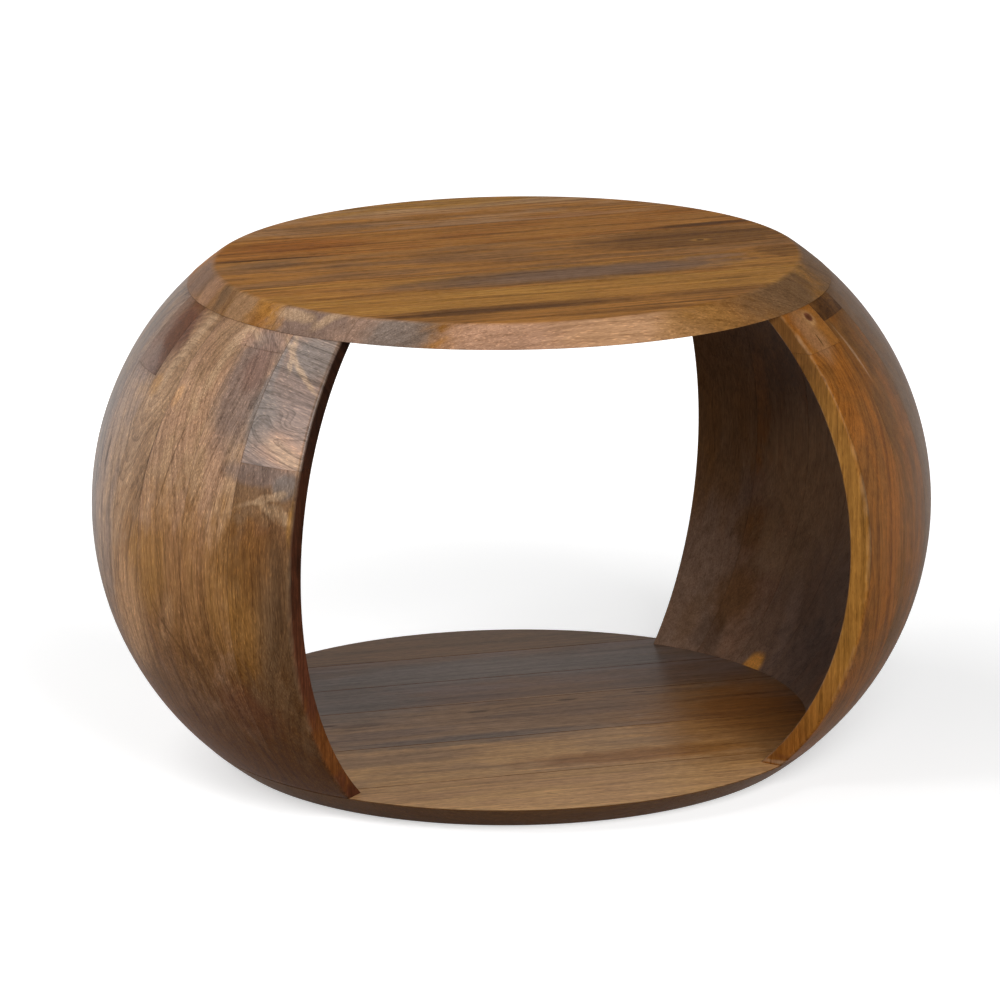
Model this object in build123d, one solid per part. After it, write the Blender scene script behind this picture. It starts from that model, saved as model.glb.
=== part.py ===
from build123d import *

import os
from math import cos, degrees, radians, sin, sqrt

# Drum table: two boards, joined by two bulging walls that each cover part of the way round.
# Millimetres and degrees. +Z is up, the floor is Z = 0, the drum's axis is the Z axis, the
# walls are centred on the +X and -X sides, and the openings between them face +Y and -Y.

# ---- driving sizes -------------------------------------------------------------------

HEIGHT = 447.5
BELLY_DIAMETER = 750.0
FOOT_DIAMETER = 512.0
FOOT_BOARD_THICKNESS = 23.0
TOP_BOARD_THICKNESS = 20.5

# the wall's thickness, measured level, at its middle and where it meets a board
WALL_AT_BELLY = 20.0
WALL_AT_BOARD = 21.0

# worn edges: rounding of the board rims, bevels on the walls' cut ends outside and inside
RIM_ROUND = 1.5
CUT_BEVEL_OUTSIDE = 3.0
CUT_BEVEL_INSIDE = 1.5

# widths of the staves round the belly, from each wall's front cut (-Y) to its back cut (+Y)
RIGHT_STAVE_WIDTHS = [69.0, 70.0, 66.0, 69.0, 69.0, 72.0, 66.0, 70.0, 71.0]
LEFT_STAVE_WIDTHS = [66.0, 59.0, 69.0, 53.0, 66.0, 62.0, 65.0, 59.0, 66.0, 57.0]

# the short blocks that piece out some staves below the table top: their heights, and the
# number of the stave that each one stands on, counted from the front cut
FIGURED_BLOCK_HEIGHT = 98.0
RED_BLOCK_HEIGHT = 56.0
CRACKED_BLOCK_HEIGHT = 31.0
FILLER_BLOCK_HEIGHT = 14.0
RIGHT_BLOCK_HEIGHTS = {1: CRACKED_BLOCK_HEIGHT, 2: FILLER_BLOCK_HEIGHT}
LEFT_BLOCK_HEIGHTS = {1: FIGURED_BLOCK_HEIGHT, 2: FILLER_BLOCK_HEIGHT, 5: RED_BLOCK_HEIGHT}

# each board's planks: their turn away from the X axis, how far behind the drum's axis the
# middle seam lies, and the widths from that seam to the front and to the back; the last
# plank each way takes what is left of the disc
TOP_PLANK_TURN = 5.5
TOP_MIDDLE_SEAM = 56.0
TOP_WIDTHS_TO_FRONT = [111.0, 72.0, 66.0]
TOP_WIDTHS_TO_BACK = [84.0, 72.0]
BASE_PLANK_TURN = 2.7
BASE_MIDDLE_SEAM = 49.0
BASE_WIDTHS_TO_FRONT = [112.0, 113.0]
BASE_WIDTHS_TO_BACK = [75.0, 80.0]

# ---- worked out from them ------------------------------------------------------------

BELLY_RADIUS = BELLY_DIAMETER / 2
FOOT_RADIUS = FOOT_DIAMETER / 2
WALL_FOOT = FOOT_BOARD_THICKNESS
WALL_HEAD = HEIGHT - TOP_BOARD_THICKNESS
BELLY_LEVEL = (WALL_FOOT + WALL_HEAD) / 2

# how far off a cut's plane an edge may be computed and still lie in it
PLANE_TOLERANCE = 0.001


def drum_radius(height):
    """Outside radius of the drum at a height: one round arc from floor to table top."""
    rise = BELLY_RADIUS - FOOT_RADIUS
    arc_radius = (rise**2 + BELLY_LEVEL**2) / (2 * rise)
    arc_centre = BELLY_RADIUS - arc_radius
    return arc_centre + sqrt(arc_radius**2 - (height - BELLY_LEVEL) ** 2)


BOARD_RIM_RADIUS = drum_radius(WALL_FOOT)


# ---- the two boards ------------------------------------------------------------------


def board_disc(wall_side, outer_side):
    """A board in one piece between two levels, its rim following the drum's curve.

    It meets the wall at the first level, and its flat outer face lies at the second.
    """
    rim = ThreePointArc(
        (drum_radius(outer_side), outer_side),
        (drum_radius((wall_side + outer_side) / 2), (wall_side + outer_side) / 2),
        (BOARD_RIM_RADIUS, wall_side),
    )
    profile = make_face(
        [
            Line((0, outer_side), (drum_radius(outer_side), outer_side)),
            rim,
            Line((BOARD_RIM_RADIUS, wall_side), (0, wall_side)),
            Line((0, wall_side), (0, outer_side)),
        ]
    )
    disc = revolve(Plane.XZ * profile, Axis.Z)
    circles = disc.edges().filter_by(GeomType.CIRCLE)
    outer_edge = min(circles, key=lambda edge: abs(edge.center().Z - outer_side))
    return fillet(outer_edge, RIM_ROUND)


def split_into_planks(disc, turn, middle_seam, widths_to_front, widths_to_back):
    """Cut a disc along parallel seams; the outermost planks reach to the rim."""
    seams = [middle_seam]
    for width in widths_to_front:
        seams.insert(0, seams[0] - width)
    for width in widths_to_back:
        seams.append(seams[-1] + width)
    edges = [-BELLY_RADIUS] + seams + [BELLY_RADIUS]
    planks = []
    for near, far in zip(edges, edges[1:]):
        slab = Box(BELLY_DIAMETER, far - near, HEIGHT, align=(Align.CENTER, Align.MIN, Align.MIN))
        planks.append(disc & (Rot(0, 0, turn) * Pos(0, near, 0) * slab))
    return planks


# ---- the two walls -------------------------------------------------------------------


def wall_section():
    """The wall's section at one side of the axis: two arcs closed by the level joints."""
    inner_end = BOARD_RIM_RADIUS - WALL_AT_BOARD
    inner_belly = BELLY_RADIUS - WALL_AT_BELLY
    return make_face(
        [
            ThreePointArc(
                (BOARD_RIM_RADIUS, WALL_FOOT),
                (BELLY_RADIUS, BELLY_LEVEL),
                (BOARD_RIM_RADIUS, WALL_HEAD),
            ),
            Line((BOARD_RIM_RADIUS, WALL_HEAD), (inner_end, WALL_HEAD)),
            ThreePointArc(
                (inner_end, WALL_HEAD), (inner_belly, BELLY_LEVEL), (inner_end, WALL_FOOT)
            ),
            Line((inner_end, WALL_FOOT), (BOARD_RIM_RADIUS, WALL_FOOT)),
        ]
    )


def stave(start, end):
    """One stave: the wall's section turned about the axis from one angle to the next."""
    turned = revolve(Plane.XZ * wall_section(), Axis.Z, revolution_arc=end - start)
    return Rot(0, 0, start) * turned


def cut_arrises(solid, angle):
    """The two long edges of the cut end in the plane at this angle, the inner one first."""
    along = Vector(cos(radians(angle)), sin(radians(angle)), 0)
    across = Vector(-along.Y, along.X, 0)
    in_plane = [e for e in solid.edges() if abs((e @ 0.5).dot(across)) < PLANE_TOLERANCE]
    long_edges = [e for e in in_plane if e.length > HEIGHT / 2]
    return sorted(long_edges, key=lambda e: (e @ 0.5).dot(along))


def bevel_cut_end(solid, angle):
    """Ease both arrises of the cut end that lies in the plane at this angle."""
    solid = chamfer(cut_arrises(solid, angle)[0], CUT_BEVEL_INSIDE)
    return chamfer(cut_arrises(solid, angle)[-1], CUT_BEVEL_OUTSIDE)


def split_at_height(solid, height):
    """Part a stave at a level joint into its lower length and the block above it."""
    joint = Plane.XY.offset(height)
    return split(solid, joint, keep=Keep.BOTTOM), split(solid, joint, keep=Keep.TOP)


def wall_pieces(side, centre, widths, block_heights, front_to_back):
    """Name and build the staves and blocks of one wall, from its front cut to its back."""
    span = degrees(sum(widths) / BELLY_RADIUS)
    angle = centre - front_to_back * span / 2
    pieces = {}
    for number, width in enumerate(widths, start=1):
        turn = front_to_back * degrees(width / BELLY_RADIUS)
        solid = stave(min(angle, angle + turn), max(angle, angle + turn))
        if number == 1:
            solid = bevel_cut_end(solid, angle)
        if number == len(widths):
            solid = bevel_cut_end(solid, angle + turn)
        if number in block_heights:
            joint = WALL_HEAD - block_heights[number]
            solid, block = split_at_height(solid, joint)
            pieces[f"{side}_block_{number}"] = block
        pieces[f"{side}_stave_{number}"] = solid
        angle += turn
    return pieces


# ---- the assembly --------------------------------------------------------------------


def numbered(name, planks):
    """Name the planks of one board from the front seam to the back."""
    return {f"{name}_{number}": plank for number, plank in enumerate(planks, start=1)}


def build():
    pieces = {}
    foot = board_disc(WALL_FOOT, 0)
    top = board_disc(WALL_HEAD, HEIGHT)
    top_planks = split_into_planks(
        top, TOP_PLANK_TURN, TOP_MIDDLE_SEAM, TOP_WIDTHS_TO_FRONT, TOP_WIDTHS_TO_BACK
    )
    base_planks = split_into_planks(
        foot, BASE_PLANK_TURN, BASE_MIDDLE_SEAM, BASE_WIDTHS_TO_FRONT, BASE_WIDTHS_TO_BACK
    )
    pieces.update(numbered("top_plank", top_planks))
    pieces.update(numbered("base_plank", base_planks))
    pieces.update(wall_pieces("right", 0, RIGHT_STAVE_WIDTHS, RIGHT_BLOCK_HEIGHTS, 1))
    pieces.update(wall_pieces("left", 180, LEFT_STAVE_WIDTHS, LEFT_BLOCK_HEIGHTS, -1))
    return pieces


os.makedirs("parts", exist_ok=True)
for name, piece in build().items():
    export_step(piece, f"parts/{name}.step")
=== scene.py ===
import math
from typing import NamedTuple

import bmesh
import bpy
import numpy as np
from bpy.props import FloatProperty, FloatVectorProperty, PointerProperty
from mathutils import Euler, Matrix, Vector


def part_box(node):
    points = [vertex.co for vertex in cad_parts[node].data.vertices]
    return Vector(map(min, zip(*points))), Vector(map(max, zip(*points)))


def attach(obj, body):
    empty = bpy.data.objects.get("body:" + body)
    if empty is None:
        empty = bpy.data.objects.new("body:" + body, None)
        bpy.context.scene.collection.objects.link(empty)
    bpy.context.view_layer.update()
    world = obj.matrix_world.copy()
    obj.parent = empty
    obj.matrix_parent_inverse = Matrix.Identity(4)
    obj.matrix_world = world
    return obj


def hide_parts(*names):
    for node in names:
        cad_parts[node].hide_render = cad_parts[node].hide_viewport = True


bl_info = {
    "name": "Drum table dressing",
    "version": (1, 0, 0),
    "blender": (4, 5, 0),
    "location": "3D View > Sidebar > Drum table",
    "description": "Finished boards and staves for the drum coffee table, with its stage",
    "category": "Object",
}

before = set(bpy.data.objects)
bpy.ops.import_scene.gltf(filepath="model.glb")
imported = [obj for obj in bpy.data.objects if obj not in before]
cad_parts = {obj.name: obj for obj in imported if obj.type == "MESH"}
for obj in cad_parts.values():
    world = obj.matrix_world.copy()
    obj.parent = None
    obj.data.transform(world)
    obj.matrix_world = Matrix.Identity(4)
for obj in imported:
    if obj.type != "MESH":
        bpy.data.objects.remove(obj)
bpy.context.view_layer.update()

MM = 0.001

# the meshes' grids: the step along a face and round a wall, and how far in from an edge the
# face beside it begins
FACE_STEP = 5 * MM
ROUND_STEP = 6 * MM
SUPPORT = 0.7 * MM

# the points up a board's rim, on its round arris and across its joints, and the rounds in
# which the place where a joint crosses the rim is found
RIM_POINTS = 6
ARRIS_STEPS = 6
JOINT_POINTS = 6
CROSSING_ROUNDS = 12

# the points round a stave's cut arris, round the small bevel at its joint and through its
# thickness, and how near in degrees two pieces' sides are the same side of the wall
CUT_POINTS = 8
BEVEL_POINTS = 3
THICK_POINTS = 5
SAME_SIDE = 0.5

# corners this near each other are one, and an edge this steep is sharp
WELD = 0.004 * MM
SHARP = math.radians(30)

# the bevel on a board's rim where it meets the wall
RIM_BEVEL = 0.8 * MM

# the azimuth, in degrees, to which the top's edge drifts out most, and how much it drifts
# to that side and in an oval, beside the steady part
FULLEST_EDGE = -120.0
EDGE_TO_FRONT = 0.87
EDGE_OVAL = 1.18

# a patch on a wall is placed by its azimuth, counted as this many millimetres to the degree
MM_PER_DEGREE = 6.0

# how dark the joint between two staves is beside the one between a stave and a board
SIDE_JOINT = 0.3

# how far the planks of each board are turned from the line between the walls, in degrees
TOP_TURN = 5.5
BASE_TURN = 2.7

# where the camera stands and how it is aimed, in degrees, and its lens in millimetres
CAMERA_RAISED = 14.487
CAMERA_AZIMUTH = -102.5
AIM_ASIDE = -0.117
AIM_UP = -0.012
CAMERA_ROLL = -0.601
LENS = 205.2
SENSOR = 36.0

# where the soft lamps stand, as azimuth and elevation, how far off and how wide, in metres
LAMPS = {
    "front": (281.0, 30.0), "left": (187.0, 30.0), "back": (150.0, 50.0), "low": (128.0, 13.0)
}
LAMP_DISTANCE = 3.0
LAMP_SIZE = 1.5

# the backdrop's rings, as distance from the drum's axis and height, in metres, and the
# corners of each
BACKDROP = ((8.4, 0.0), (8.8, 0.1), (8.95, 0.33), (9.0, 0.6), (9.0, 2.03))
BACKDROP_CORNERS = 96

# the floor's glow: the distances where it begins to grow and is full, and its least share;
# and how pale the floor is where it shows and where it only lights the table
GLOW_NEAR = 0.45
GLOW_FAR = 1.3
GLOW_LEAST = 0.5
FLOOR_LOOKS = (0.8, 0.8, 0.8, 1)
FLOOR_LIGHTS_AS = (0.30, 0.29, 0.28, 1)

# ---- the table's form, read from the CAD nodes in model.glb ----


def cad_points(node):
    """The corners of a CAD node's mesh, as rows of x, y, z in metres."""
    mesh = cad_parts[node].data
    points = np.empty(len(mesh.vertices) * 3)
    mesh.vertices.foreach_get("co", points)
    return points.reshape(-1, 3)


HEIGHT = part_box("top_plank_4")[1][2]
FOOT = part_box("base_plank_4")[1][2]
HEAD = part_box("top_plank_4")[0][2]
BELLY_LEVEL = (FOOT + HEAD) / 2


def nodes_named(start):
    """The CAD nodes whose names start with a word, in order."""
    return sorted(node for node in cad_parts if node.startswith(start))


def arc_of(end_radius, radius, height):
    """Radius and centre distance of the upright arc through both wall ends and one point."""
    half = BELLY_LEVEL - FOOT
    rise = height - BELLY_LEVEL
    centre = (end_radius**2 + half**2 - radius**2 - rise**2) / (2 * (end_radius - radius))
    return math.hypot(end_radius - centre, half), centre


def wall_arcs(node):
    """The outer and inner arcs of the wall, from the corners of one plain stave.

    The wall is about 20 mm thick and its mesh follows the arcs, so corners near the belly
    belong to the outer face within 8 mm of the widest, and to the inner one beyond 12 mm.
    """
    points = cad_points(node)
    radius = np.hypot(points[:, 0], points[:, 1])
    height = points[:, 2]
    at_foot = radius[np.abs(height - FOOT) < 0.1 * MM]
    middle = (at_foot.mean() + radius.max()) / 2
    near = np.abs(height - BELLY_LEVEL)
    outside = radius > radius.max() - 8 * MM
    inside = (radius > middle) & (radius < radius.max() - 12 * MM)
    found = []
    for end, face in ((at_foot.max(), outside), (at_foot.min(), inside)):
        pick = np.flatnonzero(face)[np.argmin(near[face])]
        found.append(arc_of(end, radius[pick], height[pick]))
    return found


OUTER_ARC, INNER_ARC = wall_arcs("right_stave_5")


def at_level(arc, height):
    """Distance from the drum's axis to an upright arc at each height."""
    radius, centre = arc
    return centre + np.sqrt(radius**2 - (height - BELLY_LEVEL) ** 2)


RIM = float(at_level(OUTER_ARC, FOOT))

# ---- mesh ----


def ring_faces(index):
    """The four-sided faces between the rows of a closed grid of corner numbers."""
    here, after = index[:-1], index[1:]
    faces = np.stack([here, np.roll(here, -1, 1), np.roll(after, -1, 1), after], axis=-1)
    return faces.reshape(-1, 4).tolist()


def skin(name, sections, **marks):
    """Join closed sections, shape (stations, points, 3), into one solid with flat ends.

    Each face joins two neighbouring points of two neighbouring sections, and the last
    point joins the first. Each mark is a number, or three, for every point, and becomes
    an attribute that the finish reads.
    """
    stations, count, _ = sections.shape
    index = np.arange(stations * count).reshape(stations, count)
    ends = [index[0][::-1].tolist(), index[-1].tolist()]
    mesh = bpy.data.meshes.new(name)
    mesh.from_pydata(sections.reshape(-1, 3).tolist(), [], ring_faces(index) + ends)
    for mark, values in marks.items():
        values = np.asarray(values, np.float32)
        kind, field = ("FLOAT", "value") if values.ndim == 2 else ("FLOAT_VECTOR", "vector")
        layer = mesh.attributes.new(mark, kind, "POINT")
        layer.data.foreach_set(field, np.ascontiguousarray(values).ravel())
    work = bmesh.new()
    work.from_mesh(mesh)
    bmesh.ops.remove_doubles(work, verts=work.verts, dist=WELD)
    bmesh.ops.recalc_face_normals(work, faces=work.faces)
    work.to_mesh(mesh)
    work.free()
    mesh.polygons.foreach_set("use_smooth", [True] * len(mesh.polygons))
    mesh.set_sharp_from_angle(angle=SHARP)
    piece = bpy.data.objects.new(name, mesh)
    bpy.context.scene.collection.objects.link(piece)
    return piece


def finish_piece(piece, node, material):
    """The piece stands for its CAD node, rides on the table's one body, and is finished."""
    piece.data.materials.append(material)
    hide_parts(node)
    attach(piece, "root")


def between(low, high, edge, step):
    """Stations from low to high: one at each end, one an edge's width in, and even steps."""
    count = max(2, math.ceil((high - low - 2 * edge) / step) + 1)
    return np.concatenate([[low], np.linspace(low + edge, high - edge, count), [high]])


# ---- staves and blocks ----


def stave_span(node, side):
    """The azimuths and levels between which a wall piece lies, read from its CAD node."""
    points = cad_points(node)
    turned = np.degrees(np.arctan2(points[:, 1], points[:, 0]))
    turned = np.where(turned < -90, turned + 360, turned) if side == "left" else turned
    return turned.min(), turned.max(), points[:, 2].min(), points[:, 2].max()


def quarter(radius, steps):
    """A quarter round: rows of distance from the side and distance from the face."""
    turn = np.linspace(0, math.pi / 2, steps)
    return np.stack([radius * (1 - np.cos(turn)), radius * (1 - np.sin(turn))], axis=1)


def stave_profile(width, rounds):
    """The level section of a stave as rows of side, offset, face, depth, and its marks.

    side runs 0 to 1 from the low azimuth to the high one and face 0 to 1 from the outer
    face to the inner one; offset and depth are metres inward from there. rounds holds
    the edge radius at low outer, high outer, high inner and low inner. The marks are how
    much of a glued joint, of a worn arris, which the finish paints paler as a highlight,
    and of a broad face there is at the point.
    """
    rows = []
    count = max(3, round(width / ROUND_STEP))
    inward = np.linspace(0, 1, count + 2)[1:-1]
    thick = np.linspace(0, 1, THICK_POINTS)[1:-1]
    for which, (side, face) in enumerate(((0, 0), (1, 0), (1, 1), (0, 1))):
        radius = rounds[which]
        cut = radius > 1 * MM
        joint, arris = float(not cut), float(cut)
        edge = quarter(radius, CUT_POINTS if cut else BEVEL_POINTS)
        broad = np.linspace(0, 1, len(edge))
        corner = [
            (side, offset, face, depth, joint, arris, share)
            for (offset, depth), share in zip(edge, broad)
        ]
        on_side = [(side, 0.0, face, radius + SUPPORT, joint, 0.0, 0.0)]
        on_face = [(side, radius + SUPPORT, face, 0.0, 0.0, 0.0, 1.0)]
        if which in (0, 2):
            rows += on_side + corner + on_face
            along = inward if which == 0 else inward[::-1]
            rows += [(t, 0.0, face, 0.0, 0.0, 0.0, 1.0) for t in along]
        else:
            rows += on_face + corner[::-1] + on_side
            across = thick if which == 1 else thick[::-1]
            rows += [(side, 0.0, t, 0.0, joint, 0.0, 0.0) for t in across]
    return np.array(rows)


def stave(node, side, sizes, cut):
    """A wall piece: its level section, with rounded edges, carried up along the wall's arcs.

    At each level a point lies at the azimuth between the piece's two sides, and at the
    radius between the outer and the inner arc; the ends are drawn in by the joint's bevel.
    """
    low, high, bottom, top = stave_span(node, side)
    joint = sizes.joint
    rounds = [joint] * 4
    if cut == "low":
        rounds[0], rounds[3] = sizes.arris_outside, sizes.arris_inside
    if cut == "high":
        rounds[1], rounds[2] = sizes.arris_outside, sizes.arris_inside
    width = math.radians(high - low) * RIM
    which, offset, face, depth, seam, arris, broad = stave_profile(width, rounds).T
    levels = between(bottom, top, joint, FACE_STEP)
    drawn_in = np.zeros_like(levels)
    drawn_in[[0, -1]] = joint
    outer = at_level(OUTER_ARC, levels)[:, None]
    inner = at_level(INNER_ARC, levels)[:, None]
    inset = drawn_in[:, None]
    radius = outer + (inner - outer) * face + (depth + inset) * np.where(face < 0.5, -1, 1)
    azimuth = np.radians(low + (high - low) * which)
    azimuth = azimuth + (offset + inset) * np.where(which < 0.5, 1, -1) / radius
    wave = hand_wave(azimuth, levels[:, None], sizes.hand_wave) * (1 - face)
    radius = radius - wave
    height = np.broadcast_to(levels[:, None], radius.shape)
    sections = np.stack([radius * np.cos(azimuth), radius * np.sin(azimuth), height], axis=-1)
    below = outer - radius
    place = [np.degrees(azimuth) * MM_PER_DEGREE, height / MM, below / MM]
    faces = [broad * (face < 0.5), broad * (face >= 0.5), 1 - broad]
    ends = np.zeros_like(radius)
    ends[[0, -1]] = 1.0
    seams = np.maximum(np.broadcast_to(SIDE_JOINT * seam, radius.shape), ends)
    return skin(
        f"{node}_finished", sections, place=np.stack(place, axis=-1), seam=seams,
        face=np.broadcast_to(np.stack(faces, axis=-1), (*radius.shape, 3)),
        arris=np.broadcast_to(arris, radius.shape),
    )


def hand_wave(azimuth, height, amount):
    """How far hand sanding leaves the outer face low: slow waves round and up the drum.

    Two sines run mostly round the drum and two mostly up it, and their sum is scaled to
    lie between nothing and the full amount.
    """
    round_about = np.sin(9 * azimuth + 21 * height) + np.sin(17 * azimuth - 34 * height + 1.3)
    upward = np.sin(28 * height + 5 * azimuth) + 0.6 * np.sin(61 * height - 11 * azimuth)
    return amount * (0.5 + (round_about + upward) / 7.2)


# ---- planks ----


def plank_span(node, turn):
    """How far a plank reaches across its board, to the front and to the back."""
    points = cad_points(node)
    across = points[:, 1] * math.cos(turn) - points[:, 0] * math.sin(turn)
    return across.min(), across.max()


def oval_edge(azimuth, sizes):
    """How much further out than the drum's curve the table top's edge was left, by azimuth.

    A steady part, a cosine that is fullest to the front, and one of twice the angle, an
    oval that is fullest to the front and back and least at the walls.
    """
    turned = azimuth - math.radians(FULLEST_EDGE)
    shape = 1.0 + EDGE_TO_FRONT * np.cos(turned) + EDGE_OVAL * np.cos(2 * turned)
    return sizes.edge_full * shape


def rim_levels(wall_side, outer_side, joint, round_over):
    """The board's profile from its wall side to its outer face, as rows of numbers.

    Each row is the distance from the axis, the level, how far the joints are drawn in, and
    the share of the edge's drift there. The outer arris is a quadratic curve whose middle
    control point is the sharp corner.
    """
    way = 1 if outer_side > wall_side else -1
    edge, eased = RIM_BEVEL, 0.3 * RIM_BEVEL
    rows = [
        (RIM - edge - SUPPORT, wall_side, joint + SUPPORT, 0.0),
        (RIM - edge, wall_side, joint, 0.0),
        (RIM - eased, wall_side + way * eased, 0.3 * joint, 0.0),
    ]
    thickness = abs(outer_side - wall_side)
    for share in np.linspace(edge / thickness, 1 - round_over / thickness, RIM_POINTS):
        level = wall_side + share * (outer_side - wall_side)
        rows.append((float(at_level(OUTER_ARC, level)), level, 0.0, share))
    corner = float(at_level(OUTER_ARC, outer_side))
    start = rows[-1]
    for t in np.linspace(0, 1, ARRIS_STEPS + 1)[1:]:
        a, b, c = (1 - t) ** 2, 2 * t * (1 - t), t**2
        radius = a * start[0] + b * corner + c * (corner - round_over)
        level = a * start[1] + (b + c) * outer_side
        rows.append((radius, level, joint * t, a * start[3] + b + c))
    rows.append((corner - round_over - SUPPORT, outer_side, joint + SUPPORT, 1.0))
    return np.array(rows)


def plank(node, turn, board, sizes):
    """A plank: its level outline, two arcs of the rim and two straight joints, by levels.

    At each level the rim's points lie at the profile's distance from the axis, from the
    angle where the near joint crosses the rim to the angle where the far one does; that
    angle is the arc sine of the joint's distance over the radius, found in a few rounds
    because the radius itself drifts with the azimuth.
    """
    wall_side, outer_side = (HEAD, HEIGHT) if board == "top" else (FOOT, 0.0)
    near, far = plank_span(node, turn)
    rows = rim_levels(wall_side, outer_side, sizes.joint, sizes.round_over)
    radius, level, drawn_in, drift = (column[:, None] for column in rows.T)
    first_plank = near < -RIM + 1 * MM
    last_plank = far > RIM - 1 * MM

    def radius_at(angle):
        """The rim's radius at an angle from the planks' direction, by level."""
        if board != "top":
            return radius + 0 * angle
        return radius + drift * oval_edge(angle + turn, sizes)

    def crossing(across, side):
        """The angle at which a joint crosses the rim on the right (0) or left (1) side."""
        angle = np.zeros_like(radius)
        for _ in range(CROSSING_ROUNDS):
            rise = np.arcsin(np.clip(across / radius_at(angle), -1, 1))
            angle = rise if side == 0 else math.pi - rise
        return angle

    near_joint = near + drawn_in if not first_plank else np.full_like(drawn_in, -1.0)
    far_joint = far - drawn_in if not last_plank else np.full_like(drawn_in, 1.0)
    steps = max(8, round((far - near) / FACE_STEP))
    even = np.linspace(0, 1, steps)[None, 1:-1]
    arcs = []
    for side in (0, 1):
        low, high = crossing(near_joint, side), crossing(far_joint, side)
        support = np.sign(high - low) * SUPPORT / radius
        inner_low, inner_high = low + support, high - support
        middle = inner_low + (inner_high - inner_low) * even
        arcs.append(np.concatenate([low, inner_low, middle, inner_high, high], axis=1))
    right, left = arcs[0], arcs[1][:, ::-1]
    rim = [
        np.stack([radius_at(a) * np.cos(a), radius_at(a) * np.sin(a)], axis=-1)
        for a in (right, left)
    ]
    share = np.linspace(0, 1, JOINT_POINTS + 2)[None, 1:-1, None]
    far_seam = rim[0][:, -1:] + (rim[1][:, :1] - rim[0][:, -1:]) * share
    near_seam = rim[1][:, -1:] + (rim[0][:, :1] - rim[1][:, -1:]) * share
    flat = np.concatenate([rim[0], far_seam, rim[1], near_seam], axis=1)
    along, across = flat[..., 0], flat[..., 1]
    heights = np.broadcast_to(level, along.shape)
    sections = np.stack(
        [
            along * math.cos(turn) - across * math.sin(turn),
            along * math.sin(turn) + across * math.cos(turn),
            heights,
        ],
        axis=-1,
    )
    count = right.shape[1]
    near_mark, far_mark = float(not first_plank), float(not last_plank)
    mark = np.zeros(flat.shape[1])
    mark[count - 1 : count + JOINT_POINTS + 1] = far_mark
    mark[2 * count + JOINT_POINTS - 1 :] = near_mark
    mark[0] = near_mark
    seam = np.broadcast_to(mark, along.shape).copy()
    seam[[0, -1]] = 0.0
    arris = np.zeros_like(along)
    arris[-ARRIS_STEPS:-1] = 1.0
    rim_share = np.ones_like(along)
    rim_share[-ARRIS_STEPS - 1 :] = np.linspace(1, 0, ARRIS_STEPS + 1)[:, None]
    rim_share[0] = 0.0
    faces = np.stack([1 - rim_share, rim_share, np.zeros_like(along)], axis=-1)
    return skin(f"{node}_finished", sections, seam=seam, arris=arris, face=faces)


# ---- finishes ----

# what the colour is multiplied by: in the darkest and palest grain, in an open vessel, in
# a glinting one, a painted highlight, and in a joint; and how much of the first vessels there is
DARK_GRAIN = (0.42, 0.36, 0.30, 1)
PALE_GRAIN = (1.62, 1.66, 1.72, 1)
OPEN_VESSEL = (0.42, 0.35, 0.30, 1)
PAINTED_GLINT = (1.9, 1.85, 1.75, 1)
JOINT_SHADE = (0.22, 0.17, 0.14, 1)
OPEN_SHARE = 0.36

# a rim is bevelled and sanded by hand, which leaves this much less grain than on the flat
RIM_GRAIN_LOST = 0.45

# how far the fibre strays, in millimetres, how many layers the growth runs ahead or
# behind, and how much the dark end of a layer takes off the grain, at most and on average
FIBRE_STRAYS = 14.0
GROWTH_VARIES = 3.0
LATE_AT_MOST = -0.42
LATE_ON_AVERAGE = -0.1

# satin lacquer: its roughness, how far that differs along the fibre, how much duller it is
# in a vessel, and how deep the fibre shows in it. The wood under it hardly shines
LACQUER_IOR = 1.5
ROUGHNESS = 0.45
ROUGHNESS_SPREAD = 0.24
VESSEL_ROUGHNESS = 0.12
COAT_ROUGHNESS = 0.3
SPECULAR_LEVEL = 0.02
FIBRE_RELIEF = 0.1 * MM

# lacquer is sprayed from above, and a wall gets less of it from one level down to the next
COAT_FULL = 340 * MM
COAT_NONE = 150 * MM

# settings that several nodes share
MIX = {"data_type": "RGBA", "blend_type": "MIX"}
MULTIPLY = {"data_type": "RGBA", "blend_type": "MULTIPLY"}
EASED = {"interpolation_type": "SMOOTHSTEP"}

# where each face's share stands in a piece's face attribute
FACES = {"flat": 0, "outside": 0, "rim": 1, "inside": 1, "cut": 2}


def linear(colour):
    """An sRGB hex colour as linear red, green, blue and alpha."""
    parts = [int(colour[i : i + 2], 16) / 255 for i in (1, 3, 5)]
    return [c / 12.92 if c <= 0.04045 else ((c + 0.055) / 1.055) ** 2.4 for c in parts] + [1.0]


def tone(name):
    """One of the wood's colours, with an alpha."""
    return [*getattr(bpy.context.scene.drum_table_colours, name), 1.0]


def empty_tree(holder):
    """The node tree of a material or a world, with nothing in it."""
    holder.use_nodes = True
    holder.node_tree.nodes.clear()
    return holder.node_tree


def add(tree, kind, inputs, out=0, **settings):
    """Add a node, set its properties, fill or link its inputs, and return one output."""
    made = tree.nodes.new(f"ShaderNode{kind}")
    for key, value in settings.items():
        setattr(made, key, value)
    for key, value in inputs.items():
        if isinstance(value, bpy.types.NodeSocket):
            tree.links.new(value, made.inputs[key])
        else:
            made.inputs[key].default_value = value
    return made.outputs[out] if made.outputs else made


class Stain(NamedTuple):
    """A patch of other colour, a streak, a pale line or a knot: an ellipse with ragged edges.

    at is millimetres along and across a board, or degrees round and millimetres up a wall;
    size is its half length and half width in millimetres, before it is turned by degrees.
    on is the face that shows it: "flat" or "rim" on a board, and "outside", "inside" or
    "cut" on a wall.
    """

    at: tuple
    size: tuple
    tone: str
    amount: float
    ragged: float = 0.5
    soft: float = 0.9
    turn: float = 0.0
    on: str = "flat"


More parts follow.
